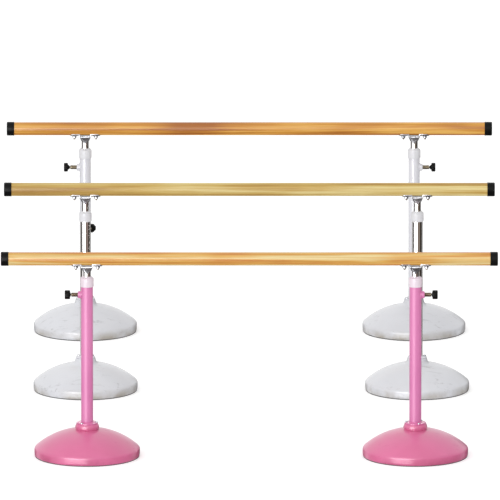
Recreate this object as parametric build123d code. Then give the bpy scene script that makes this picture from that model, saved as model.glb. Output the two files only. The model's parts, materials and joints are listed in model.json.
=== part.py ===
from build123d import *
import os
from dataclasses import dataclass
from math import cos, radians, sin

# Three free-standing ballet barres in rows, one behind another, modelled in millimetres.
# +X runs along the bars, +Y from the front row to the rear row, +Z up from the floor.
# The origin is on the floor in the middle of the set.

# Bar, with its end caps and the fixings that hold it
BAR_R = 25.5
BAR_LENGTH = 1900.0             # over the end caps
CAP_R = 27.25
CAP_DEPTH = 29.0
CAP_FLOOR = 4.0
STUD_R = 4.0
STUD_OFFSET = 42.0              # each side of the post, along the bar
STUD_IN_BAR = 20.0
STUD_TIP = 17.0                 # below the bar
WASHER_R = 8.5
WASHER_T = 1.6
NUT_ACROSS_FLATS = 13.0
NUT_T = 6.5

# Saddle bracket, measured from the middle of the bar
SADDLE_LENGTH = 116.0
SADDLE_HALF_WIDTH = 17.5
SADDLE_T = 3.0
SADDLE_STEP = 20.0              # where the tabs step down to the middle plate
SADDLE_PLATE_LOW = 31.5         # underside of the middle plate
FUNNEL_LOW = 47.0
FUNNEL_TOP_R = 23.0
FUNNEL_LOW_R = 16.4
TONGUE_LOW = 56.0
TONGUE_HALF_WIDTH = 17.0
TONGUE_TIP_R = 6.0
TONGUE_T = 2.5

# Telescoping tubes
INNER_R = 14.3
INNER_WALL = 1.5
POST_WALL = 2.0
HOLE_R = 4.4
HOLE_PITCH = 50.0
HOLE_COUNT = 7
TUBE_BELOW_HOLES = 40.0

# Collar at the post's top
COLLAR_HEIGHT = 40.0
COLLAR_ROOF = 4.0
COLLAR_CHAMFER_HEIGHT = 7.0
COLLAR_MOUTH_R = 16.5           # width of the collar's flat top
LINER_DEPTH = 58.0              # from the collar's top

# Pull pin, measured outwards from the post's axis
BOSS_R = 13.5
BOSS_REACH = 12.0               # past the post's wall
BARREL_R = 8.0
BARREL_REACH = 25.0             # past the boss
BARREL_START = 16.0
CHAMBER_R = 6.1
CHAMBER_WALL = 5.0
PIN_R = 4.0
PIN_TIP = 10.0
ROD_R = 3.0
SHOULDER_R = 5.9
SHOULDER_T = 3.0
KNOB_GAP = 1.5
KNOB_LENGTH = 23.5              # hub and grip together
KNOB_R = 17.2
KNOB_HUB_R = 5.5
KNOB_EDGE_R = 3.5
ROD_IN_KNOB = 14.0

# Weighted base
BASE_R = 202.0
BASE_WALL = 8.0
FOOT_T = 3.0
FOOT_WIDTH = 12.0
RIM_TOP = 26.0
RIM_EDGE_R = 14.0               # round edge between the rim and the dome
RIM_EDGE_TURN = 48.0
DOME_R = 285.0                  # radius of the dome's arc
DOME_TOP = (45.0, 104.0)
SOCKET_FLOOR = 90.0
SOCKET_FLOOR_T = 6.0
SOCKET_R = 32.0
NECK_TOP = 126.0
FLANGE_T = 5.0
SCREW_COUNT = 3
SCREW_INSET = 6.0               # from the flange's edge
SCREW_R = 3.0
SCREW_DEPTH = 16.0
SCREW_HEAD_R = 5.2
SCREW_HEAD_T = 3.6
HEX_KEY = 4.0

# Clearances
SNUG = 0.05                     # between fixed pieces
RUNNING = 0.3                   # round the sliding tube


@dataclass
class Row:
    """One barre: where it stands, how high it is set and what its stands are like."""
    name: str
    y: float
    post_x: tuple               # left and right post
    bar_height: float
    post_top: float             # top of the collar
    post_r: float
    collar_r: float
    pin_drop: float             # from the collar's foot down to the pull pin
    neck_r: float               # the neck's top
    round_neck: bool            # a rounded ring, or a flared cone
    knob_grip: float            # thickness of the knob's wide part
    pin_angles: tuple           # direction of each pull pin, left and right, from +X
    screw_angles: tuple         # first flange screw, left and right


ROWS = [
    Row("front", -1134.0, (-621.0, 635.0), 770.0, 702.0, 23.0, 25.8, 32.0, 41.5, True, 20.5,
        (180.0, 0.0), (-124.0, -68.0)),
    Row("middle", 53.0, (-635.0, 650.0), 792.0, 707.0, 21.0, 24.4, 43.0, 37.5, False, 18.0,
        (72.0, 90.0), (30.0, 20.0)),
    Row("rear", 1134.0, (-643.0, 645.0), 808.0, 731.0, 21.5, 24.8, 37.0, 37.5, False, 16.0,
        (180.0, 0.0), (30.0, -30.0)),
]
SIDES = ("left", "right")


def rod(radius, low, high):
    """A round bar along Z."""
    return Pos(0, 0, low) * Cylinder(radius, high - low, align=(Align.CENTER, Align.CENTER, Align.MIN))


def pipe(outer, inner, low, high):
    """A round tube along Z."""
    return rod(outer, low, high) - rod(inner, low - 1, high + 1)


def turned(*edges):
    """A solid turned about Z from edges that close an outline in the XZ plane."""
    return revolve(make_face(Plane.XZ * (Curve() + list(edges))), Axis.Z)


def block(low, high):
    """A box between two corners."""
    size = [b - a for a, b in zip(low, high)]
    middle = [(a + b) / 2 for a, b in zip(low, high)]
    return Pos(*middle) * Box(*size)


def along_bar(solid):
    """Turns a solid made along Z to run along +X."""
    return Rot(0, 90, 0) * solid


def outwards(solid, angle, height):
    """Turns a solid made along Z to point out of a post at that angle and height."""
    return Pos(0, 0, height) * Rot(0, 0, angle) * along_bar(solid)


def pin_height(row):
    return row.post_top - COLLAR_HEIGHT - row.pin_drop


# Bar assembly, made round the middle of the bar

def bar(row):
    half = BAR_LENGTH / 2 - CAP_FLOOR
    dowel = along_bar(rod(BAR_R, -half, half))
    for x in stud_places(row):
        dowel -= Pos(x, 0, 0) * rod(STUD_R + SNUG, -BAR_R - 5, -BAR_R + STUD_IN_BAR + 1)
    return dowel


def stud_places(row):
    return [x + step for x in row.post_x for step in (-STUD_OFFSET, STUD_OFFSET)]


def end_cap():
    """The cap for the bar's right-hand end."""
    end = BAR_LENGTH / 2
    shell = rod(CAP_R, end - CAP_DEPTH, end)
    shell = fillet(shell.edges().sort_by(Axis.Z)[-1], 3.0)
    shell -= rod(BAR_R + SNUG, end - CAP_DEPTH - 1, end - CAP_FLOOR + SNUG)
    return along_bar(shell)


def saddle():
    """Pressed bracket under the bar, made over its post's axis with the bar's middle at z = 0."""
    half = SADDLE_LENGTH / 2
    outer = BAR_R + SADDLE_T
    tabs = along_bar(rod(outer, -half, half))
    tabs -= block((-SADDLE_STEP, -outer, -outer), (SADDLE_STEP, outer, outer))
    joggle = block((-SADDLE_STEP - SADDLE_T, -outer, -SADDLE_PLATE_LOW),
                   (SADDLE_STEP + SADDLE_T, outer, -outer / 2))
    joggle -= block((-SADDLE_STEP, -outer, -SADDLE_PLATE_LOW + SADDLE_T), (SADDLE_STEP, outer, 0))
    plan = RectangleRounded(SADDLE_LENGTH, 2 * SADDLE_HALF_WIDTH, 9.0)
    outline = extrude(Pos(0, 0, -SADDLE_PLATE_LOW) * plan, SADDLE_PLATE_LOW - BAR_R / 2)
    plate = (tabs + joggle) & outline
    plate -= along_bar(rod(BAR_R + SNUG, -half - 1, half + 1))
    for x in (-STUD_OFFSET, STUD_OFFSET):
        plate -= Pos(x, 0, 0) * rod(STUD_R + 0.3, -outer - 5, 0)
    funnel = turned(
        Polyline((0, -FUNNEL_LOW), (FUNNEL_LOW_R, -FUNNEL_LOW), (FUNNEL_TOP_R, -SADDLE_PLATE_LOW),
                 (0, -SADDLE_PLATE_LOW), close=True))
    bore = rod(INNER_R + SNUG, -TONGUE_LOW - 1, -SADDLE_PLATE_LOW)
    return plate + (funnel + tongue() - bore)


def tongue():
    """The two pointed tongues that run down the front and back of the sliding tube."""
    tip = -TONGUE_LOW + TONGUE_TIP_R
    shape = make_hull([
        *Polyline((-TONGUE_HALF_WIDTH, -SADDLE_PLATE_LOW), (TONGUE_HALF_WIDTH, -SADDLE_PLATE_LOW)).edges(),
        *(Pos(0, tip) * Circle(TONGUE_TIP_R)).edges()])
    plate = extrude(Plane.XZ * shape, INNER_R + TONGUE_T, both=True)
    return plate - block((-50, -INNER_R, -90), (50, INNER_R, 0))


def stud():
    return rod(STUD_R, -BAR_R - STUD_TIP, -BAR_R + STUD_IN_BAR)


def washer():
    top = -BAR_R - SADDLE_T - SNUG
    return pipe(WASHER_R, STUD_R + SNUG, top - WASHER_T, top)


def nut():
    top = -BAR_R - SADDLE_T - WASHER_T - 2 * SNUG
    hexagon = RegularPolygon(NUT_ACROSS_FLATS / 2, 6, major_radius=False)
    body = extrude(Pos(0, 0, top - NUT_T) * hexagon, NUT_T)
    corners = rod(NUT_ACROSS_FLATS / 2 * 1.14, top - NUT_T, top)
    body &= chamfer(corners.edges().group_by(Axis.Z)[0], 0.8)
    return body - rod(STUD_R + SNUG, top - NUT_T - 1, top + 1)


def inner_tube(row, angle):
    """Sliding tube, made round its post's axis at its height above the floor."""
    top = row.bar_height - SADDLE_PLATE_LOW - SNUG
    level = pin_height(row)
    bottom = level - (HOLE_COUNT - 1) * HOLE_PITCH - TUBE_BELOW_HOLES
    tube = pipe(INNER_R, INNER_R - INNER_WALL, bottom, top)
    for step in range(HOLE_COUNT):
        tube -= outwards(rod(HOLE_R, 0, INNER_R + 5), angle, level - step * HOLE_PITCH)
    return tube


# Stand, made round its post's axis at its height above the floor

def collar(row):
    """Plastic sleeve over the post's top, with a liner that guides the sliding tube."""
    top = row.post_top
    mouth = INNER_R + RUNNING
    post_inner = row.post_r - POST_WALL - SNUG
    return turned(Polyline(
        (mouth, top), (COLLAR_MOUTH_R, top), (row.collar_r, top - COLLAR_CHAMFER_HEIGHT),
        (row.collar_r, top - COLLAR_HEIGHT), (row.post_r + SNUG, top - COLLAR_HEIGHT),
        (row.post_r + SNUG, top - COLLAR_ROOF), (post_inner, top - COLLAR_ROOF),
        (post_inner, top - LINER_DEPTH), (mouth, top - LINER_DEPTH), close=True))


def post(row, angle):
    """Outer tube with the threaded boss for its pull pin welded on."""
    low, high = SOCKET_FLOOR, row.post_top - COLLAR_ROOF - SNUG
    face = row.post_r + BOSS_REACH
    boss = rod(BOSS_R, row.post_r - POST_WALL, face)
    boss = fillet(boss.edges().sort_by(Axis.Z)[-1], 4.0)
    tube = rod(row.post_r, low, high) + outwards(boss, angle, pin_height(row))
    tube -= rod(row.post_r - POST_WALL, low - 1, high + 1)
    return tube - outwards(rod(BARREL_R + SNUG, 0, face + 1), angle, pin_height(row))


def barrel(row):
    """Threaded barrel of the pull pin, pointing along Z."""
    end = row.post_r + BOSS_REACH + BARREL_REACH
    body = rod(BARREL_R, BARREL_START, end)
    body = chamfer(body.edges().sort_by(Axis.Z)[-1], 2.0)
    body -= rod(CHAMBER_R, BARREL_START + CHAMBER_WALL, end - CHAMBER_WALL)
    body -= rod(PIN_R + SNUG, BARREL_START - 1, BARREL_START + CHAMBER_WALL + 1)
    return body - rod(ROD_R + SNUG, end - CHAMBER_WALL - 1, end + 1)


def knob_start(row):
    return row.post_r + BOSS_REACH + BARREL_REACH + KNOB_GAP


def pull_pin(row):
    """Steel pin with the shoulder that its spring presses on."""
    shoulder = BARREL_START + CHAMBER_WALL + SNUG
    tip = rod(PIN_R, PIN_TIP, shoulder)
    tip = chamfer(tip.edges().sort_by(Axis.Z)[0], 1.0)
    tip += rod(SHOULDER_R, shoulder, shoulder + SHOULDER_T)
    return tip + rod(ROD_R, shoulder, knob_start(row) + ROD_IN_KNOB)


def knob(row):
    """Round knob on a conical hub, pointing along Z."""
    start = knob_start(row)
    end = start + KNOB_LENGTH
    grip = end - row.knob_grip
    flat_r = KNOB_R - KNOB_EDGE_R
    shape = turned(
        Polyline((0, start), (KNOB_HUB_R, start), (KNOB_R * 0.6, grip), (flat_r, grip)),
        JernArc((flat_r, grip), (1, 0), KNOB_EDGE_R, 90),
        Line((KNOB_R, grip + KNOB_EDGE_R), (KNOB_R, end - KNOB_EDGE_R)),
        JernArc((KNOB_R, end - KNOB_EDGE_R), (0, 1), KNOB_EDGE_R, 90),
        Polyline((flat_r, end), (0, end), (0, start)))
    return shape - rod(ROD_R, start - 1, start + ROD_IN_KNOB)


def base_casting(row, first_screw):
    """Hollow domed casting with a socket for the post in its neck."""
    centre, inner_r = dome_centre(), DOME_R - BASE_WALL
    inner_edge = BASE_R - BASE_WALL - 1
    foot_r, neck_outline = neck(row)
    outline = [
        Polyline((0, SOCKET_FLOOR - SOCKET_FLOOR_T), (SOCKET_R, SOCKET_FLOOR - SOCKET_FLOOR_T),
                 arc_point(centre, inner_r, SOCKET_R)),
        ThreePointArc(arc_point(centre, inner_r, SOCKET_R),
                      arc_point(centre, inner_r, (SOCKET_R + inner_edge) / 2),
                      arc_point(centre, inner_r, inner_edge)),
        Polyline(arc_point(centre, inner_r, inner_edge), (inner_edge, FOOT_T),
                 (BASE_R - 3, FOOT_T), (BASE_R - 0.8, FOOT_T + 2.5), (BASE_R, 12.0), rim_edge(0)),
        ThreePointArc(rim_edge(0), rim_edge(0.5), rim_edge(1)),
        ThreePointArc(rim_edge(1), arc_point(centre, DOME_R, 130.0), arc_point(centre, DOME_R, foot_r)),
        *neck_outline,
        Polyline((row.neck_r, NECK_TOP), (row.post_r + SNUG, NECK_TOP), (row.post_r + SNUG, SOCKET_FLOOR),
                 (0, SOCKET_FLOOR), (0, SOCKET_FLOOR - SOCKET_FLOOR_T))]
    casting = turned(*outline)
    for angle in screw_angles(first_screw):
        casting -= on_screw(row, angle, rod(SCREW_R, NECK_TOP - SCREW_DEPTH + FLANGE_T - 1, NECK_TOP + 1))
    return casting


def neck(row):
    """The radius at which the neck leaves the dome, and its outline up to the flange."""
    if row.round_neck:
        foot = arc_point(dome_centre(), DOME_R, row.neck_r + 2)
        return foot[0], [ThreePointArc(foot, (row.neck_r + 4.3, NECK_TOP - 12), (row.neck_r, NECK_TOP))]
    foot = arc_point(dome_centre(), DOME_R, row.neck_r + 18)
    return foot[0], [
        ThreePointArc(foot, (row.neck_r + 6.6, foot[1] + 6), (row.neck_r + 1.5, NECK_TOP - 3)),
        Line((row.neck_r + 1.5, NECK_TOP - 3), (row.neck_r, NECK_TOP))]


def rim_edge(share):
    """A point on the round edge between the rim and the dome, from 0 at the rim to 1 at the dome."""
    turn = radians(RIM_EDGE_TURN * share)
    return BASE_R - RIM_EDGE_R * (1 - cos(turn)), RIM_TOP + RIM_EDGE_R * sin(turn)


def dome_centre():
    """Centre of the dome's arc, below the chord from its edge to its top."""
    (x0, z0), (x1, z1) = rim_edge(1), DOME_TOP
    dx, dz = x0 - x1, z1 - z0
    chord = (dx * dx + dz * dz) ** 0.5
    drop = (DOME_R ** 2 - chord ** 2 / 4) ** 0.5
    return (x0 + x1) / 2 - drop * dz / chord, (z0 + z1) / 2 - drop * dx / chord


def arc_point(centre, radius, x):
    """The point at distance x from the post's axis on the upper arc round centre."""
    return x, centre[1] + (radius ** 2 - (x - centre[0]) ** 2) ** 0.5


def screw_angles(first):
    return [first + 360.0 * k / SCREW_COUNT for k in range(SCREW_COUNT)]


def on_screw(row, angle, solid):
    """Moves a solid from the post's axis to the flange screw at that angle."""
    return Rot(0, 0, angle) * Pos(row.neck_r - SCREW_INSET, 0, 0) * solid


def flange(row, first_screw):
    """Round flange welded to the post, resting on the neck."""
    low = NECK_TOP + SNUG
    disc = rod(row.neck_r - 0.5, low, low + FLANGE_T)
    disc = fillet(disc.edges().sort_by(Axis.Z)[-1], 1.5)
    disc -= rod(row.post_r + SNUG, low - 1, low + FLANGE_T + 1)
    for angle in screw_angles(first_screw):
        disc -= on_screw(row, angle, rod(SCREW_R + 0.3, low - 1, low + FLANGE_T + 1))
    return disc


def flange_screw():
    """Button-head screw with a hexagon socket, over its own axis."""
    seat = NECK_TOP + FLANGE_T + 2 * SNUG
    head = rod(SCREW_HEAD_R, seat, seat + SCREW_HEAD_T)
    head = fillet(head.edges().sort_by(Axis.Z)[-1], 2.4)
    key = RegularPolygon(HEX_KEY / 2, 6, major_radius=False)
    head -= extrude(Pos(0, 0, seat + SCREW_HEAD_T - 2.2) * key, 3.0)
    return head + rod(SCREW_R, NECK_TOP - SCREW_DEPTH + FLANGE_T, seat)


def foot_ring():
    """Rubber ring glued under the casting's rim."""
    return pipe(BASE_R - 2, BASE_R - 2 - FOOT_WIDTH, 0, FOOT_T)


# Assembly

def at_post(row, i, solid):
    """Moves a solid from the origin to the row's left post (0) or right post (1)."""
    return Pos(row.post_x[i], row.y, 0) * solid


def at_bar(row, x, solid):
    return Pos(x, row.y, row.bar_height) * solid


def both_posts(row, make):
    """One node that holds the same piece on the left and right posts."""
    return Compound(children=[at_post(row, i, make(i)) for i in (0, 1)])


def row_nodes(row):
    """Every named piece of one barre."""
    studs = stud_places(row)
    nodes = {
        "bar": at_bar(row, 0, bar(row)),
        "end_caps": Compound(children=[
            at_bar(row, 0, end_cap()), at_bar(row, 0, Rot(0, 0, 180) * end_cap())]),
        "saddle_brackets": Compound(children=[at_bar(row, x, saddle()) for x in row.post_x]),
        "saddle_studs": Compound(children=[at_bar(row, x, stud()) for x in studs]),
        "saddle_nuts": Compound(children=[
            at_bar(row, x, piece) for x in studs for piece in (washer(), nut())]),
        "collars": both_posts(row, lambda i: collar(row)),
        "post_flanges": both_posts(row, lambda i: flange(row, row.screw_angles[i])),
        "flange_screws": Compound(children=[
            at_post(row, i, on_screw(row, angle, flange_screw()))
            for i in (0, 1) for angle in screw_angles(row.screw_angles[i])]),
        "foot_rings": both_posts(row, lambda i: foot_ring()),
        "pin_barrels": both_posts(
            row, lambda i: outwards(barrel(row), row.pin_angles[i], pin_height(row))),
    }
    for i, side in enumerate(SIDES):
        angle = row.pin_angles[i]
        nodes.update({
            f"inner_tube_{side}": at_post(row, i, inner_tube(row, angle)),
            f"post_{side}": at_post(row, i, post(row, angle)),
            f"base_{side}": at_post(row, i, base_casting(row, row.screw_angles[i])),
            f"pull_pin_{side}": at_post(row, i, outwards(pull_pin(row), angle, pin_height(row))),
            f"knob_{side}": at_post(row, i, outwards(knob(row), angle, pin_height(row))),
        })
    return nodes


os.makedirs("parts", exist_ok=True)
for row in ROWS:
    for name, shape in row_nodes(row).items():
        export_step(shape, f"parts/{row.name}_{name}.step")
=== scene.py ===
import json
import math

import bpy
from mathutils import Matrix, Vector


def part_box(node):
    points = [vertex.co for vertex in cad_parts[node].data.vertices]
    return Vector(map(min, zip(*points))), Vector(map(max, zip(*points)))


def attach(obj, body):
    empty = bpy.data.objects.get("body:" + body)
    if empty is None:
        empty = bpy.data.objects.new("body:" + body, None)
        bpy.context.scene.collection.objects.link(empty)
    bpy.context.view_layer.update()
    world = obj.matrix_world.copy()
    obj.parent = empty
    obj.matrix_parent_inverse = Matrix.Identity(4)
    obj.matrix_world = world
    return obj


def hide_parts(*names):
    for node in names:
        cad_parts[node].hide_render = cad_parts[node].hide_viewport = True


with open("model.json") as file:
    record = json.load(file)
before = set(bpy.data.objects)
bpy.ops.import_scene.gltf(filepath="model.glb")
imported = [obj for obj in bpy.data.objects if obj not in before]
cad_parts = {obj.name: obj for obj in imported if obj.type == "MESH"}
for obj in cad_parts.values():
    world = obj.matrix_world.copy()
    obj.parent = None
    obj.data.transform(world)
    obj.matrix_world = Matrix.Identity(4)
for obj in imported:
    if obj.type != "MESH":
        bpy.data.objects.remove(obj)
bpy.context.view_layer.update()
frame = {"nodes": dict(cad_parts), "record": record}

# Three free-standing ballet barres in rows. Heights and radii below are in millimetres, as on a
# workshop drawing; places come from the frame, in metres.

MM = 0.001
ROWS = ("front", "middle", "rear")
SIDES = ("left", "right")

# Weighted base
BASE_WALL = 8.0
BASE_STEPS = 128
RIM_TOP = 26.0
RIM_EDGE_R = 14.0
RIM_EDGE_TURN = 48.0
DOME_R = 285.0
DOME_TOP = (45.0, 104.0)
SOCKET_R = 32.0
SOCKET_FLOOR = 90.0
SOCKET_FLOOR_T = 6.0
NECK_TOP = 126.0
FOOT_T = 3.0
FOOT_WIDTH = 12.0

# Post, collar and pull pin
BOSS_R = 13.5
BOSS_REACH = 12.0
BARREL_R = 8.0
BARREL_NOSE = 4.0
BARREL_PITCH = 1.5
BARREL_THREAD = 0.45
PIN_HOLE_R = 3.1
KNOB_LENGTH = 23.5
KNOB_R = 17.2
KNOB_EDGE_R = 3.5
KNOB_GRIPS = {"front": 20.5, "middle": 18.0, "rear": 16.0}
KNOB_FLUTES = 8
STEPS_PER_FLUTE = 8
FLUTE_SQUEEZES = (0.925, 0.94, 0.975)  # from the middle of a flute outwards
BEAD_R = 1.9
BEAD_POINTS = 72
BEAD_RIPPLE = 0.16
COLLAR_HEIGHT = 40.0
COLLAR_ROOF = 4.0
COLLAR_MOUTH_R = 16.5
TUBE_R = 14.3
LINER_DEPTH = 58.0
POST_WALL = 2.0
SNUG = 0.05  # play between pieces pushed together

# Bar fixings
CAP_DEPTH = 29.0
CAP_EDGE_R = 4.0
CAP_WALL = 3.5
STUD_R = 4.0
STUD_PITCH = 1.25
STUD_THREAD = 0.6
STUD_LENGTH = 37.0
STUD_GAP = 20.0  # two vertices farther apart than this are on different studs
NUT_EASE = 0.35
BRACKET_EASE = 0.5

# Mesh making
WELD_GAP = 0.002
SMOOTH_BELOW = math.radians(32)


# ---------------------------------------------------------------- measures taken from the frame

def middle_of(node):
    low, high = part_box(node)
    return (Vector(low) + Vector(high)) / 2


def half_depth(node):
    """Half of a node's size from front to back: the radius of an upright round piece."""
    low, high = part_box(node)
    return (high[1] - low[1]) / 2 / MM


def half_height(node):
    """Half of a node's height: the radius of a round piece that lies along X."""
    low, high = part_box(node)
    return (high[2] - low[2]) / 2 / MM


def ends_along(vertices, start, direction):
    """How far, in millimetres, the nearest and farthest vertices are along a direction."""
    reaches = [(vertex.co - start).dot(direction) / MM for vertex in vertices]
    return min(reaches), max(reaches)


class Stand:
    """One post with its base: where it is, and the radii and heights that differ from row to row."""

    def __init__(self, row, side):
        self.row, self.side = row, side
        centre = middle_of(f"{row}_base_{side}")
        self.axis = Vector((centre.x, centre.y, 0))
        low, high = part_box(f"{row}_post_{side}")
        # The boss makes the post's box longer on one side, so its radius is the least reach.
        self.post_r = min(self.axis.x - low[0], high[0] - self.axis.x,
                          self.axis.y - low[1], high[1] - self.axis.y) / MM
        self.base_r = half_depth(f"{row}_base_{side}")
        self.flange_r = half_depth(f"{row}_post_flanges")
        self.collar_r = half_depth(f"{row}_collars")
        self.flange_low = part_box(f"{row}_post_flanges")[0][2] / MM
        self.flange_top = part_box(f"{row}_post_flanges")[1][2] / MM
        self.collar_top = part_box(f"{row}_collars")[1][2] / MM
        self.pin_height = middle_of(f"{row}_knob_{side}").z
        axis = next(j["axis"] for j in frame["record"]["behaviour"]["joints"]
                    if j["name"] == f"{row}_pull_{side}")
        self.pin = Vector(axis).normalized()
        self.pin_turn = math.atan2(self.pin.y, self.pin.x)
        knob_vertices = frame["nodes"][f"{row}_knob_{side}"].data.vertices
        self.knob_start = ends_along(knob_vertices, self.axis, self.pin)[0]
        self.barrel_end = ends_along(self.barrel_vertices(), self.axis, self.pin)[1]

    def barrel_vertices(self):
        """The barrel's vertices on this side of the middle; one node holds both posts' barrels."""
        vertices = frame["nodes"][f"{self.row}_pin_barrels"].data.vertices
        return [vertex for vertex in vertices if vertex.co.x * self.axis.x > 0]


# ---------------------------------------------------------------- modelling by hand

def deselect():
    bpy.ops.object.select_all(action="DESELECT")


def started(name):
    """A new piece at the origin with one vertex, in edit mode."""
    deselect()
    bpy.ops.mesh.primitive_plane_add(size=MM)
    piece = bpy.context.object
    piece.name = name
    bpy.ops.object.mode_set(mode="EDIT")
    bpy.ops.mesh.select_all(action="SELECT")
    bpy.ops.mesh.merge(type="CENTER")
    return piece


def drawn(name, outline):
    """A piece that is an outline of (radius, height) points in millimetres, in edit mode."""
    piece = started(name)
    bpy.ops.transform.translate(value=(outline[0][0] * MM, 0, outline[0][1] * MM))
    for (r0, z0), (r1, z1) in zip(outline, outline[1:]):
        bpy.ops.mesh.extrude_vertices_move(
            TRANSFORM_OT_translate={"value": ((r1 - r0) * MM, 0, (z1 - z0) * MM)})
    return piece


def closed_up(piece):
    """Welds the seams, turns the faces outwards, smooths the round faces and leaves edit mode."""
    bpy.ops.mesh.select_all(action="SELECT")
    bpy.ops.mesh.remove_doubles(threshold=WELD_GAP * MM)
    bpy.ops.mesh.normals_make_consistent(inside=False)
    bpy.ops.object.mode_set(mode="OBJECT")
    bpy.ops.object.shade_smooth_by_angle(angle=SMOOTH_BELOW)
    return piece


def turned(name, outline, steps):
    """A piece turned about Z from an outline that starts and ends on the axis, or closes."""
    piece = drawn(name, outline)
    bpy.ops.mesh.select_all(action="SELECT")
    bpy.ops.mesh.spin(steps=steps, angle=2 * math.pi, center=(0, 0, 0), axis=(0, 0, 1))
    return closed_up(piece)


def arc(centre, radius, start, end, steps):
    """Points on an arc, with its angles in degrees from the outward direction."""
    angles = [math.radians(start + (end - start) * i / steps) for i in range(steps + 1)]
    return [(centre[0] + radius * math.cos(a), centre[1] + radius * math.sin(a)) for a in angles]


def bowed(start, middle, end, steps):
    """Points on a smooth curve that passes through the middle point half-way."""
    (x0, y0), (x1, y1), (x2, y2) = start, middle, end
    cx, cy = 2 * x1 - (x0 + x2) / 2, 2 * y1 - (y0 + y2) / 2
    points = []
    for i in range(steps + 1):
        t = i / steps
        a, b, c = (1 - t) ** 2, 2 * t * (1 - t), t * t
        points.append((a * x0 + b * cx + c * x2, a * y0 + b * cy + c * y2))
    return points


def threaded(name, radius, pitch, length, depth, start=0.0):
    """A rod along Z with a helical thread from a start height, filled at both ends."""
    turns = round(length / pitch)
    piece = drawn(name, [(radius - depth, 0), (radius, pitch * 0.45), (radius, pitch * 0.55),
                         (radius - depth, pitch)])
    bpy.ops.object.mode_set(mode="OBJECT")
    screw = piece.modifiers.new("thread", "SCREW")
    screw.axis = "Z"
    screw.angle = 2 * math.pi
    screw.steps = screw.render_steps = 24
    screw.screw_offset = pitch * MM
    screw.iterations = turns - 1
    bpy.ops.object.modifier_apply(modifier="thread")
    bpy.ops.object.mode_set(mode="EDIT")
    bpy.ops.mesh.select_all(action="SELECT")
    bpy.ops.mesh.remove_doubles(threshold=WELD_GAP * MM)
    bpy.ops.mesh.fill_holes(sides=0)
    bpy.ops.mesh.select_all(action="SELECT")
    bpy.ops.transform.translate(value=(0, 0, start * MM))
    return closed_up(piece)


def bevelled(piece, width):
    """Rounds a piece's sharp edges."""
    deselect()
    piece.select_set(True)
    bpy.context.view_layer.objects.active = piece
    bevel = piece.modifiers.new("eased edges", "BEVEL")
    bevel.width = width * MM
    bevel.segments = 2
    bevel.limit_method = "ANGLE"
    bevel.angle_limit = math.radians(35)
    bpy.ops.object.modifier_apply(modifier="eased edges")
    bpy.ops.object.shade_smooth_by_angle(angle=SMOOTH_BELOW)
    return piece


def joined(name, *pieces):
    """Makes one piece of several."""
    deselect()
    for piece in pieces:
        piece.select_set(True)
    bpy.context.view_layer.objects.active = pieces[0]
    bpy.ops.object.join()
    pieces[0].name = name
    return pieces[0]


def laid(piece, name, at, turn=0.0, tilt=0.0):
    """A copy of a piece modelled along Z: tilted over towards +X, turned about Z, and put at a place."""
    deselect()
    copy = piece.copy()
    copy.data = piece.data.copy()
    copy.name = name
    bpy.context.scene.collection.objects.link(copy)
    copy.select_set(True)
    bpy.context.view_layer.objects.active = copy
    copy.rotation_euler = (0, tilt, turn)
    copy.location = at
    bpy.ops.object.transform_apply(location=True, rotation=True, scale=True)
    return copy


def finished(piece, body, slot, *nodes):
    """Hands a piece over: its body, its finish and the CAD nodes it stands for."""
    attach(piece, body)
    if nodes:
        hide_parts(*nodes)
    piece.data.materials.clear()
    piece.data.materials.append(FINISHES[slot])


SLOT_OF = {part["node"]: part["material_slot"] for part in frame["record"]["subparts"]}


# ---------------------------------------------------------------- pieces

def dome_centre(edge):
    """Centre of the dome's arc, below the chord from its edge to its top."""
    (x0, z0), (x1, z1) = edge, DOME_TOP
    dx, dz = x0 - x1, z1 - z0
    chord = math.hypot(dx, dz)
    drop = math.sqrt(DOME_R ** 2 - chord ** 2 / 4)
    return (x0 + x1) / 2 - drop * dz / chord, (z0 + z1) / 2 - drop * dx / chord


def on_dome(centre, radius, x):
    """The dome's point at a distance from the post's axis."""
    return x, centre[1] + math.sqrt(radius ** 2 - (x - centre[0]) ** 2)


def along_dome(centre, radius, start, end, steps):
    """Points on the dome between two distances from the post's axis."""
    return [on_dome(centre, radius, start + (end - start) * i / steps) for i in range(steps + 1)]


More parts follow.
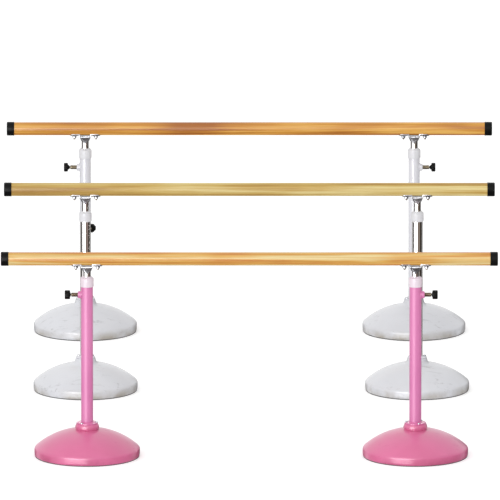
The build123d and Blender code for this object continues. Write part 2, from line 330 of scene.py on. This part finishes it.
def casting(stand):
    """Hollow domed base: rolled rim, dome, and a neck with the post's socket."""
    round_neck = stand.row == "front"
    outer = stand.base_r
    inner_edge = outer - BASE_WALL - 1
    rim_centre = (outer - RIM_EDGE_R, RIM_TOP)
    turn = math.radians(RIM_EDGE_TURN)
    edge = (rim_centre[0] + RIM_EDGE_R * math.cos(turn), RIM_TOP + RIM_EDGE_R * math.sin(turn))
    centre = dome_centre(edge)
    neck_r = stand.flange_r + 0.5
    foot = on_dome(centre, DOME_R, neck_r + (2 if round_neck else 18))
    if round_neck:
        neck = bowed(foot, (neck_r + 4.3, NECK_TOP - 12), (neck_r + 0.6, NECK_TOP - 0.8), 10)
    else:
        neck = bowed(foot, (neck_r + 6.6, foot[1] + 6), (neck_r + 1.5, NECK_TOP - 3), 8)
    outline = [
        (0, SOCKET_FLOOR - SOCKET_FLOOR_T), (SOCKET_R, SOCKET_FLOOR - SOCKET_FLOOR_T),
        *along_dome(centre, DOME_R - BASE_WALL, SOCKET_R + 2, inner_edge - 2, 14),
        (inner_edge, on_dome(centre, DOME_R - BASE_WALL, inner_edge)[1] - 3),
        (inner_edge, FOOT_T), (outer - 3, FOOT_T), (outer - 1.4, FOOT_T + 0.8),
        (outer - 0.8, FOOT_T + 2.5), (outer - 0.2, 8.0), (outer, 12.0),
        *arc(rim_centre, RIM_EDGE_R, 0, RIM_EDGE_TURN, 6),
        *along_dome(centre, DOME_R, edge[0] - 3, foot[0] + 4, 22), *neck,
        (neck_r, NECK_TOP - 0.2), (neck_r - 0.5, NECK_TOP), (stand.post_r + SNUG, NECK_TOP),
        (stand.post_r + SNUG, SOCKET_FLOOR), (0, SOCKET_FLOOR)]
    outline.append(outline[0])
    return turned("casting", outline, BASE_STEPS)


def foot_ring(stand):
    """Rubber ring under the rim, with a groove in its tread."""
    outer = stand.base_r - 2
    inner = outer - FOOT_WIDTH
    mid = (outer + inner) / 2
    outline = [(inner, FOOT_T), (inner, 0.8), (inner + 0.8, 0), (mid - 1.5, 0), (mid - 1, 0.9),
               (mid + 1, 0.9), (mid + 1.5, 0), (outer - 0.8, 0), (outer, 0.8), (outer, FOOT_T),
               (inner, FOOT_T)]
    return turned("foot_ring", outline, BASE_STEPS)


def flange(stand):
    """Flange disc with the weld that holds it to the post."""
    low, top, outer = stand.flange_low, stand.flange_top, stand.flange_r
    bore = stand.post_r + SNUG
    outline = [
        (bore, low), (outer - 0.6, low), (outer, low + 0.6),
        *arc((outer - 1.5, top - 1.5), 1.5, 0, 90, 4),
        (bore + 3.6, top), (bore + 2.9, top + 0.9), (bore + 1.7, top + 2.2), (bore + 0.6, top + 3.0),
        (bore, top + 3.3), (bore, low)]
    return turned("flange", outline, 96)


def collar(stand):
    """Plastic sleeve over the post's top, with its liner down inside the post."""
    top, outer = stand.collar_top, stand.collar_r
    hem, roof, end = top - COLLAR_HEIGHT, top - COLLAR_ROOF, top - LINER_DEPTH
    mouth, bore, liner = TUBE_R + 0.3, stand.post_r + SNUG, stand.post_r - POST_WALL - SNUG
    outline = [
        (mouth, end), (mouth, top - 0.6), (mouth + 0.6, top), (COLLAR_MOUTH_R - 0.4, top),
        (COLLAR_MOUTH_R + 0.6, top - 0.35), (outer - 1.4, top - 6.2), (outer - 0.35, top - 7.2),
        (outer, top - 8.6), (outer, hem + 2.6), (outer - 0.45, hem + 2.2), (outer - 0.45, hem + 0.5),
        (outer - 0.9, hem), (bore, hem), (bore, roof), (liner, roof), (liner, end), (mouth, end)]
    return turned("collar", outline, 80)


def knob(stand):
    """Fluted knob on a conical hub, with a dished face, along Z from the hub's end."""
    grip = KNOB_LENGTH - KNOB_GRIPS[stand.row]
    inner = KNOB_R - KNOB_EDGE_R
    outline = [
        (0, 0), (5.0, 0), (5.5, 0.5), (KNOB_R * 0.6, grip), (inner, grip),
        *arc((inner, grip + KNOB_EDGE_R), KNOB_EDGE_R, -75, 0, 4),
        *arc((inner, KNOB_LENGTH - KNOB_EDGE_R), KNOB_EDGE_R, 0, 90, 5),
        (11.5, KNOB_LENGTH), (10.2, KNOB_LENGTH - 0.9), (4.0, KNOB_LENGTH - 1.2), (0, KNOB_LENGTH - 1.2)]
    piece = turned("knob", outline, KNOB_FLUTES * STEPS_PER_FLUTE)
    for step, squeeze in enumerate(FLUTE_SQUEEZES):
        pick(piece, lambda co: math.hypot(co.x, co.y) > 13 * MM and flute_step(co) == step)
        bpy.ops.transform.resize(value=(squeeze, squeeze, 1), center_override=(0, 0, 0))
        bpy.ops.object.mode_set(mode="OBJECT")
    return piece


def flute_step(co):
    """How many steps round the knob a point is from the middle of its nearest flute."""
    steps = KNOB_FLUTES * STEPS_PER_FLUTE
    step = round(math.atan2(co.y, co.x) / (2 * math.pi) * steps) % STEPS_PER_FLUTE
    return min(step, STEPS_PER_FLUTE - step)


def pick(piece, wanted):
    """Selects the vertices at the wanted places, in edit mode."""
    bpy.ops.object.mode_set(mode="EDIT")
    bpy.ops.mesh.select_mode(type="VERT")
    bpy.ops.mesh.select_all(action="DESELECT")
    bpy.ops.object.mode_set(mode="OBJECT")
    for vertex in piece.data.vertices:
        vertex.select = wanted(vertex.co)
    bpy.ops.object.mode_set(mode="EDIT")


def barrel(stand):
    """Threaded barrel along Z, from inside its boss to its chamfered nose."""
    end = stand.barrel_end
    start = stand.post_r + BOSS_REACH - 2
    thread_end = end - BARREL_NOSE
    thread = threaded("thread", BARREL_R, BARREL_PITCH, thread_end - start + BARREL_PITCH,
                      BARREL_THREAD, start)
    nose = turned("nose", [
        (0, thread_end - 1), (BARREL_R - 0.7, thread_end - 1), (BARREL_R, thread_end),
        (BARREL_R, end - 2), (BARREL_R - 2, end), (PIN_HOLE_R, end), (PIN_HOLE_R, end - 3),
        (0, end - 3)], 48)
    return joined("barrel", thread, nose)


def weld_bead(stand):
    """Rippled weld round the foot of the boss, where it meets the round post."""
    curve = bpy.data.curves.new(f"{stand.row}_{stand.side}_bead", "CURVE")
    curve.dimensions = "3D"
    curve.bevel_depth = BEAD_R * MM
    curve.bevel_resolution = 3
    line = curve.splines.new("POLY")
    line.points.add(BEAD_POINTS - 1)
    ring = BOSS_R + 0.7
    across = Vector((-stand.pin.y, stand.pin.x, 0))
    for i, point in enumerate(line.points):
        a = 2 * math.pi * i / BEAD_POINTS
        side = ring * math.sin(a)
        out = math.sqrt((stand.post_r + 0.5) ** 2 - side ** 2)
        place = (stand.axis + stand.pin * out * MM + across * side * MM
                 + Vector((0, 0, stand.pin_height + ring * math.cos(a) * MM)))
        point.co = (*place, 1.0)
        point.radius = 1.0 + BEAD_RIPPLE * math.sin(i * math.pi / 2 + 0.4)
    line.use_cyclic_u = True
    deselect()
    bead = bpy.data.objects.new(f"{stand.row}_weld_bead_{stand.side}", curve)
    bpy.context.scene.collection.objects.link(bead)
    bead.select_set(True)
    bpy.context.view_layer.objects.active = bead
    bpy.ops.object.convert(target="MESH")
    bpy.ops.object.shade_smooth()
    return bead


def end_cap(row):
    """Cap along Z from its mouth to its crowned end."""
    outer = half_height(f"{row}_end_caps")
    bore = half_height(f"{row}_bar") + SNUG
    outline = [
        (bore, 0), (outer - 0.5, 0), (outer, 0.5), (outer, 3.0), (outer - 0.4, 3.5),
        (outer - 0.4, CAP_DEPTH - CAP_EDGE_R),
        *arc((outer - 0.4 - CAP_EDGE_R, CAP_DEPTH - CAP_EDGE_R), CAP_EDGE_R, 12, 90, 6),
        (outer - 8, CAP_DEPTH), (3.0, CAP_DEPTH), (2.4, CAP_DEPTH - 0.6), (0, CAP_DEPTH - 0.6),
        (0, CAP_DEPTH - CAP_WALL), (bore, CAP_DEPTH - CAP_WALL), (bore, 0)]
    return turned("end_cap", outline, 72)


def eased_copy(node, name, width):
    """A copy of a pressed or forged CAD piece, with its edges rounded as its tool leaves them."""
    deselect()
    piece = bpy.data.objects.new(name, frame["nodes"][node].data.copy())
    bpy.context.scene.collection.objects.link(piece)
    piece.select_set(True)
    bpy.context.view_layer.objects.active = piece
    bpy.ops.object.mode_set(mode="EDIT")
    bpy.ops.mesh.select_all(action="SELECT")
    bpy.ops.mesh.remove_doubles(threshold=WELD_GAP * MM)
    bpy.ops.mesh.dissolve_limited(angle_limit=math.radians(2))
    bpy.ops.object.mode_set(mode="OBJECT")
    return bevelled(piece, width)


def stud_places(row):
    """X of each stud's axis, in metres; one node holds all the studs of the row."""
    groups = []
    for x in sorted(vertex.co.x for vertex in frame["nodes"][f"{row}_saddle_studs"].data.vertices):
        if not groups or x - groups[-1][-1] > STUD_GAP * MM:
            groups.append([x])
        else:
            groups[-1].append(x)
    return [(group[0] + group[-1]) / 2 for group in groups]


def studs(row):
    """The threaded ends of the studs that hold both brackets to the bar."""
    thread = threaded("stud_thread", STUD_R, STUD_PITCH, STUD_LENGTH - 1, STUD_THREAD, 0.6)
    tip = turned("stud_tip", [
        (0, 0), (STUD_R - 1.1, 0), (STUD_R - 0.5, 0.7), (STUD_R - 0.5, 2), (0, 2)], 24)
    master = joined("stud", thread, tip)
    y = middle_of(f"{row}_bar").y
    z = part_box(f"{row}_saddle_studs")[0][2]
    copies = [laid(master, "stud", (x, y, z)) for x in stud_places(row)]
    bpy.data.objects.remove(master)
    return joined(f"{row}_threaded_studs", *copies)


def model_stand(stand, masters):
    """Puts copies of the row's modelled pieces on one post."""
    row, side = stand.row, stand.side
    body = f"{row}_stands"
    upright = (
        ("casting", f"base_{side}", f"domed_base_{side}"),
        ("foot_ring", "foot_rings", f"rubber_ring_{side}"),
        ("flange", "post_flanges", f"welded_flange_{side}"),
        ("collar", "collars", f"collar_sleeve_{side}"))
    for kind, node, name in upright:
        piece = laid(masters[kind], f"{row}_{name}", stand.axis)
        finished(piece, body, SLOT_OF[f"{row}_{node}"], f"{row}_{node}")
    pin_place = stand.axis + Vector((0, 0, stand.pin_height))
    knob_place = pin_place + stand.pin * stand.knob_start * MM
    piece = laid(masters["barrel"], f"{row}_threaded_barrel_{side}", pin_place, stand.pin_turn, math.pi / 2)
    finished(piece, body, SLOT_OF[f"{row}_pin_barrels"], f"{row}_pin_barrels")
    piece = laid(masters["knob"], f"{row}_fluted_knob_{side}", knob_place, stand.pin_turn, math.pi / 2)
    finished(piece, f"{row}_plunger_{side}", SLOT_OF[f"{row}_knob_{side}"], f"{row}_knob_{side}")
    finished(weld_bead(stand), body, SLOT_OF[f"{row}_post_{side}"])


def model_stands(row):
    """Both posts of a row: each piece is modelled once and copied to each post."""
    stands = [Stand(row, side) for side in SIDES]
    first = stands[0]
    masters = {"casting": casting(first), "foot_ring": foot_ring(first), "flange": flange(first),
               "collar": collar(first), "barrel": barrel(first), "knob": knob(first)}
    for stand in stands:
        model_stand(stand, masters)
    for master in masters.values():
        bpy.data.objects.remove(master)


def model_barre(row):
    """The end caps and fixings of a row's bar."""
    cap = end_cap(row)
    bar = middle_of(f"{row}_bar")
    low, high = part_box(f"{row}_end_caps")
    for side, x, tilt in (("left", low[0] + CAP_DEPTH * MM, -math.pi / 2),
                          ("right", high[0] - CAP_DEPTH * MM, math.pi / 2)):
        piece = laid(cap, f"{row}_moulded_cap_{side}", (x, bar.y, bar.z), 0, tilt)
        finished(piece, f"{row}_barre", SLOT_OF[f"{row}_end_caps"], f"{row}_end_caps")
    bpy.data.objects.remove(cap)
    for node, name, width in (("saddle_brackets", "pressed_brackets", BRACKET_EASE),
                              ("saddle_nuts", "nuts_and_washers", NUT_EASE)):
        piece = eased_copy(f"{row}_{node}", f"{row}_{name}", width)
        finished(piece, f"{row}_barre", SLOT_OF[f"{row}_{node}"], f"{row}_{node}")
    finished(studs(row), f"{row}_barre", SLOT_OF[f"{row}_saddle_studs"], f"{row}_saddle_studs")


# ---------------------------------------------------------------- finishes

def opaque(colour):
    """Four colour values from a grey level or from red, green and blue."""
    return (*colour, 1.0) if isinstance(colour, tuple) else (colour, colour, colour, 1.0)


class Finish:
    """A material with its node tree and its one shader."""

    def __init__(self, name, **sockets):
        self.material = bpy.data.materials.new(name)
        self.material.use_nodes = True
        self.tree = self.material.node_tree
        self.shader = self.tree.nodes["Principled BSDF"]
        for socket, value in sockets.items():
            self.shader.inputs[socket.replace("_", " ")].default_value = value
        self.place = self.add("ShaderNodeTexCoord").outputs["Object"]

    def add(self, kind, inputs=None, **settings):
        node = self.tree.nodes.new(kind)
        for key, value in settings.items():
            setattr(node, key, value)
        for key, value in (inputs or {}).items():
            self.plug(node.inputs[key], value)
        return node

    def plug(self, socket, value):
        """Links another node's output to a socket, or sets the socket's own value."""
        if hasattr(value, "links"):
            self.tree.links.new(value, socket)
        elif socket.type == "RGBA":
            socket.default_value = opaque(value)
        else:
            socket.default_value = value

    def stretched(self, scale, location=(0, 0, 0)):
        return self.add("ShaderNodeMapping", {
            "Vector": self.place, "Scale": scale, "Location": location}).outputs[0]

    def noise(self, scale, detail=3.0, roughness=0.5, at=None, distortion=0.0):
        return self.add("ShaderNodeTexNoise", {
            "Vector": at or self.place, "Scale": scale, "Detail": detail,
            "Roughness": roughness, "Distortion": distortion}).outputs["Fac"]

    def height(self):
        """Metres above the floor."""
        return self.add("ShaderNodeSeparateXYZ", {"Vector": self.place}).outputs["Z"]

    def ramp(self, fac, *stops):
        node = self.add("ShaderNodeValToRGB", {"Fac": fac})
        elements = node.color_ramp.elements
        while len(elements) < len(stops):
            elements.new(0.5)
        for element, (where, colour) in zip(elements, stops):
            element.position = where
            element.color = opaque(colour)
        return node.outputs["Color"]

    def between(self, value, low, high, to_low=0.0, to_high=1.0):
        """Maps a value from one range to another, held at the ends."""
        node = self.add("ShaderNodeMapRange", {
            "Value": value, "From Min": low, "From Max": high, "To Min": to_low, "To Max": to_high})
        return node.outputs["Result"]

    def mix(self, fac, a, b, blend="MIX"):
        node = self.add("ShaderNodeMix", data_type="RGBA", blend_type=blend)
        for socket, value in ((node.inputs[0], fac), (node.inputs[6], a), (node.inputs[7], b)):
            self.plug(socket, value)
        return node.outputs[2]

    def maths(self, operation, a, b):
        node = self.add("ShaderNodeMath", operation=operation)
        self.plug(node.inputs[0], a)
        self.plug(node.inputs[1], b)
        return node.outputs[0]

    def set(self, socket, value):
        self.tree.links.new(value, self.shader.inputs[socket])

    def bump(self, height, distance, strength=1.0):
        node = self.add("ShaderNodeBump", {"Height": height, "Distance": distance, "Strength": strength})
        self.set("Normal", node.outputs[0])


def rgb(code):
    """The linear colour of a hex code."""
    parts = [int(code[i:i + 2], 16) / 255 for i in (0, 2, 4)]
    return tuple(c / 12.92 if c <= 0.04045 else ((c + 0.055) / 1.055) ** 2.4 for c in parts)


def varnished_wood(row, pale, mid, deep, seed, coat):
    """Dowel turned from a straight-grained board: long flame streaks, fine pores, clear varnish."""
    f = Finish(f"{row}_varnished_pine", Roughness=0.45, Coat_Weight=coat, Coat_Roughness=0.22,
               Specular_IOR_Level=0.2)
    centre = middle_of(f"{row}_bar")

    def along(length, width, shift):
        scale = (1 / length, 1 / width, 1 / width)
        return f.stretched(scale, (seed + shift, -centre.y / width, -centre.z / width))

    flame = f.noise(1.0, 2, 0.5, at=along(0.85, 0.017, 0), distortion=0.6)
    broad = f.noise(1.0, 2, 0.5, at=along(0.40, 0.09, 7))
    streak = f.noise(1.0, 3, 0.55, at=along(0.42, 0.0058, 5), distortion=0.3)
    fine = f.noise(1.0, 4, 0.6, at=along(0.11, 0.0016, 3))
    growth = f.maths("ADD", f.maths("MULTIPLY", flame, 0.58), f.maths("MULTIPLY", broad, 0.42))
    colour = f.ramp(growth, (0.38, deep), (0.49, mid), (0.58, pale))
    lines = f.ramp(streak, (0.36, (0.80, 0.66, 0.40)), (0.52, (1.0, 1.0, 1.0)))
    pores = f.ramp(fine, (0.30, (0.72, 0.60, 0.38)), (0.52, (1.0, 1.0, 1.0)))
    lined = f.mix(0.65, colour, lines, "MULTIPLY")
    f.set("Base Color", f.mix(0.30, lined, pores, "MULTIPLY"))
    f.bump(fine, 0.0002, 0.10)
    return f.material


def paint(name, colour, deep, coat=0.16):
    """Sprayed gloss paint: slight shade changes, orange peel, and a few rubbed marks."""
    f = Finish(name, Roughness=0.25, Coat_Weight=1.0, Coat_Roughness=coat, Specular_IOR_Level=0.2)
    shade = f.ramp(f.noise(5.0, 3), (0.35, deep), (0.65, colour))
    rubbed = f.between(f.noise(1.0, 4, 0.65, at=f.stretched((40, 40, 9))), 0.66, 0.78, 0.0, 0.22)
    f.set("Base Color", f.mix(rubbed, shade, tuple(min(1.0, c * 0.6) for c in deep)))
    f.bump(f.noise(420.0, 2), 0.0003, 0.10)
    return f.material


def iron_paint(name, colour, deep, scuff, chip_and_floor_reflection, scuffs, coat):
    """Paint on rough cast iron: casting texture, dull scuffs on the dome, and a painted reflection of a
    brown floor in patches towards the foot of the rim.
    """
    f = Finish(name, Coat_Weight=0.8, Coat_Roughness=coat, Specular_IOR_Level=0.2)
    shade = f.ramp(f.noise(4.0, 3), (0.35, deep), (0.65, colour))
    streaks = f.noise(1.0, 5, 0.7, at=f.stretched((14, 55, 55)), distortion=0.8)
    marks = f.maths("MULTIPLY", f.between(streaks, 0.56, 0.68), f.between(f.noise(9.0, 2), 0.42, 0.60))
    marked = f.mix(f.maths("MULTIPLY", marks, scuffs), shade, scuff)
    # Painted reflection of a brown floor: a browner, darker tint in patches, strongest at the foot of the
    # rim. The chips below take the same colour.
    low = f.between(f.height(), 0.040, 0.010)
    floor_reflection_patches = f.noise(7.0, 4, 0.6, at=f.stretched((1, 1, 1), (0.35, 0.2, 0)))
    floor_reflection_mask = f.maths("MULTIPLY", low, f.between(floor_reflection_patches, 0.40, 0.62))
    with_floor_reflection = f.mix(f.maths("MULTIPLY", floor_reflection_mask, 0.6), marked, chip_and_floor_reflection)
    chips = f.maths("MULTIPLY", f.between(f.height(), 0.045, 0.030),
                    f.between(f.noise(130.0, 3, 0.6), 0.70, 0.72))
    f.set("Base Color", f.mix(f.maths("MULTIPLY", chips, 0.7), with_floor_reflection, chip_and_floor_reflection))
    f.set("Roughness", f.between(marks, 0.0, 1.0, 0.3, 0.6))
    cast = f.maths("ADD", f.noise(60.0, 4, 0.6), f.maths("MULTIPLY", f.noise(380.0, 2), 0.25))
    f.bump(cast, 0.0009, 0.18)
    return f.material


def metal(name, colour, dull, roughness, across=(1, 1, 1), marks=0.15, ripple=0.15):
    """Bare or plated metal: cloudy dulling, and fine marks, long where across is small."""
    f = Finish(name, Metallic=1.0)
    cloud = f.noise(18.0, 4, 0.6)
    lines = f.noise(1.0, 3, 0.6, at=f.stretched(tuple(260 * a for a in across)))
    f.set("Base Color", f.ramp(cloud, (0.38, dull), (0.62, colour)))
    f.set("Roughness", f.maths("ADD", f.between(cloud, 0.35, 0.75, roughness, roughness * 1.5),
                               f.between(lines, 0.45, 0.8, 0.0, marks * roughness)))
    f.bump(lines, 0.00005, ripple)
    return f.material


def moulded(name, colour, worn, roughness, grain=0.25, gloss=0.35):
    """Moulded plastic: fine mould texture, paler where hands rub it."""
    f = Finish(name, Specular_IOR_Level=gloss)
    rub = f.between(f.noise(26.0, 4, 0.6), 0.52, 0.72)
    f.set("Base Color", f.mix(f.maths("MULTIPLY", rub, 0.5), colour, worn))
    f.set("Roughness", f.between(rub, 0.0, 1.0, roughness, roughness * 0.75))
    f.bump(f.noise(800.0, 2), 0.00015, grain)
    return f.material


FINISHES = {
    "front_wood": varnished_wood("front", rgb("DEC88C"), rgb("D8A852"), rgb("C47A2E"), 1.0, 0.8),
    "middle_wood": varnished_wood("middle", rgb("D6C486"), rgb("C2A45A"), rgb("A47E3C"), 12.0, 0.38),
    "rear_wood": varnished_wood("rear", rgb("E2B056"), rgb("CA8C2E"), rgb("A46014"), 23.0, 0.75),
    "pink_paint": paint("pink_paint", rgb("D97DB1"), rgb("D375AB"), 0.40),
    "rose_cast_iron": iron_paint("rose_paint_on_iron", rgb("D66C98"), rgb("CE648E"), rgb("C05A82"),
                                 rgb("A8486A"), 0.3, 0.28),
    "rose_paint": paint("rose_paint", rgb("D86CA2"), rgb("D0649A"), 0.3),
    "pale_pink_plastic": moulded("pale_pink_plastic", rgb("E0D2DC"), rgb("E8DEE4"), 0.3, 0.1),
    "white_cast_iron": iron_paint("white_paint_on_iron", rgb("D2D3D8"), rgb("CACBD0"), rgb("98979A"),
                                  rgb("8A7C60"), 0.55, 0.25),
    "white_flange_paint": paint("white_flange_paint", rgb("D2D2D9"), rgb("CACAD1")),
    "white_paint": paint("white_paint", rgb("DADAE0"), rgb("D4D4DA")),
    "white_plastic": moulded("white_plastic", rgb("D4D4D8"), rgb("DEDEE2"), 0.35, 0.1),
    "chrome": metal("chrome", (0.92, 0.90, 0.89), (0.88, 0.86, 0.85), 0.05, (1, 1, 0.05), 0.0, 0.02),
    "zinc_plate": metal("zinc_plate", (0.52, 0.53, 0.56), (0.34, 0.35, 0.38), 0.30),
    "turned_steel": metal("turned_steel", (0.34, 0.29, 0.21), (0.20, 0.16, 0.11), 0.24),
    "black_plastic": moulded("black_plastic", (0.004, 0.004, 0.004), (0.010, 0.010, 0.010),
                             0.38, 0.25, 0.10),
    "rubber": moulded("rubber", (0.10, 0.10, 0.10), (0.14, 0.14, 0.14), 0.7, 0.5),
}


def dress_frame():
    """Gives every carried piece of the frame its finish."""
    for part in frame["record"]["subparts"]:
        node = frame["nodes"][part["node"]]
        for slot in node.material_slots:
            slot.material = FINISHES[part["material_slot"]]


# ---------------------------------------------------------------- studio

CAMERA_ELEVATION = math.radians(12.0)
CAMERA_DISTANCE = 91.38
CAMERA_LENS = 1700.0
AIMED_AT = Vector((0.0023, 0, 0.5635))


def add_camera():
    """A camera in front, a little above, with a very long lens."""
    data = bpy.data.cameras.new("camera")
    data.lens = CAMERA_LENS
    data.clip_start, data.clip_end = 1.0, 400.0
    camera = bpy.data.objects.new("camera", data)
    bpy.context.scene.collection.objects.link(camera)
    back = Vector((0, -math.cos(CAMERA_ELEVATION), math.sin(CAMERA_ELEVATION)))
    camera.location = AIMED_AT + back * CAMERA_DISTANCE
    camera.rotation_euler = (-back).to_track_quat("-Z", "Y").to_euler()
    bpy.context.scene.camera = camera


def add_floor():
    """A pale matt floor; polished pieces don't mirror it."""
    deselect()
    bpy.ops.mesh.primitive_plane_add(size=400.0)
    floor = bpy.context.object
    floor.name = "floor"
    f = Finish("floor_paint", Roughness=0.9, Specular_IOR_Level=0.1, Emission_Color=(1, 1, 1, 1),
               Emission_Strength=0.35)
    f.set("Base Color", f.ramp(f.noise(0.6, 2), (0.3, 0.74), (0.7, 0.76)))
    floor.data.materials.append(f.material)
    floor.visible_glossy = False


def add_card(name, start, end, low, high, distance, glow=(0, 0, 0), shades=False):
    """A card that only reflections see, dark or lit like a softbox, or one that only shades.

    Its two edges are at bearings in degrees to the right of the front.
    """
    bearing, half_width = (start + end) / 2, (end - start) / 2
    deselect()
    bpy.ops.mesh.primitive_plane_add(size=1.0)
    card = bpy.context.object
    card.name = name
    angle = math.radians(bearing)
    card.location = (distance * math.sin(angle), -distance * math.cos(angle), (low + high) / 2)
    card.rotation_euler = (math.pi / 2, 0, angle)
    card.scale = (2 * distance * math.tan(math.radians(half_width)), high - low, 1)
    f = Finish(f"{name}_card", Roughness=1.0, Base_Color=(0.01, 0.01, 0.01, 1), Specular_IOR_Level=0.0,
               Emission_Color=(*glow, 1), Emission_Strength=1.0)
    card.data.materials.append(f.material)
    card.visible_camera = False
    card.visible_glossy = not shades
    card.visible_diffuse = shades
    card.visible_shadow = shades


def light_sky():
    """White all round; polished and shaded undersides see it dim far below the floor."""
    world = bpy.data.worlds.new("studio")
    world.use_nodes = True
    tree = world.node_tree
    add = tree.nodes.new
    place = add("ShaderNodeTexCoord")
    split = add("ShaderNodeSeparateXYZ")
    rise = add("ShaderNodeMapRange")
    fade = add("ShaderNodeValToRGB")
    ray = add("ShaderNodeLightPath")
    backdrop = add("ShaderNodeBackground")
    choice = add("ShaderNodeMixShader")
    around = tree.nodes["Background"]
    rise.inputs["From Min"].default_value = -0.62
    rise.inputs["From Max"].default_value = -0.30
    fade.color_ramp.elements[0].color = (0.16, 0.14, 0.13, 1)
    around.inputs["Strength"].default_value = 0.96
    backdrop.inputs["Color"].default_value = (1, 1, 1, 1)
    for start, end in (
            (place.outputs["Generated"], split.inputs["Vector"]),
            (split.outputs["Z"], rise.inputs["Value"]),
            (rise.outputs["Result"], fade.inputs["Fac"]),
            (fade.outputs["Color"], around.inputs["Color"]),
            (ray.outputs["Is Camera Ray"], choice.inputs[0]),
            (around.outputs[0], choice.inputs[1]),
            (backdrop.outputs[0], choice.inputs[2]),
            (choice.outputs[0], tree.nodes["World Output"].inputs["Surface"])):
        tree.links.new(start, end)
    bpy.context.scene.world = world


def light_studio():
    """A wide soft sun from the front left, and cards for the chrome and varnish to mirror."""
    light_sky()
    bpy.context.scene.view_settings.view_transform = "Standard"
    sun = bpy.data.lights.new("soft_key", "SUN")
    sun.energy = 0.7
    sun.angle = math.radians(70)
    key = bpy.data.objects.new("soft_key", sun)
    bpy.context.scene.collection.objects.link(key)
    key.rotation_euler = Vector((0.5, 1.0, -0.9)).to_track_quat("-Z", "Y").to_euler()
    add_card("front_softbox", -46, -4, -4.0, 6.0, 12.0, (10, 10, 10))
    add_card("grey_right", -4, 60, -9.0, 3.0, 20.0, (0.24, 0.20, 0.17))
    add_card("right_flag", 50, 150, 0.0, 9.0, 16.0, shades=True)
    add_card("dark_right", 60, 118, -9.0, 3.0, 19.0, (0.03, 0.025, 0.02))
    add_card("dark_right_rear", 130, 168, -9.0, 3.0, 19.0, (0.03, 0.025, 0.02))
    add_card("dark_left", -122, -78, -9.0, 0.0, 24.0, (0.04, 0.035, 0.03))
    add_card("dark_left_rear", -165, -142, -9.0, 0.0, 24.0, (0.04, 0.035, 0.03))


dress_frame()
for row in ROWS:
    model_stands(row)
    model_barre(row)
add_camera()
add_floor()
light_studio()
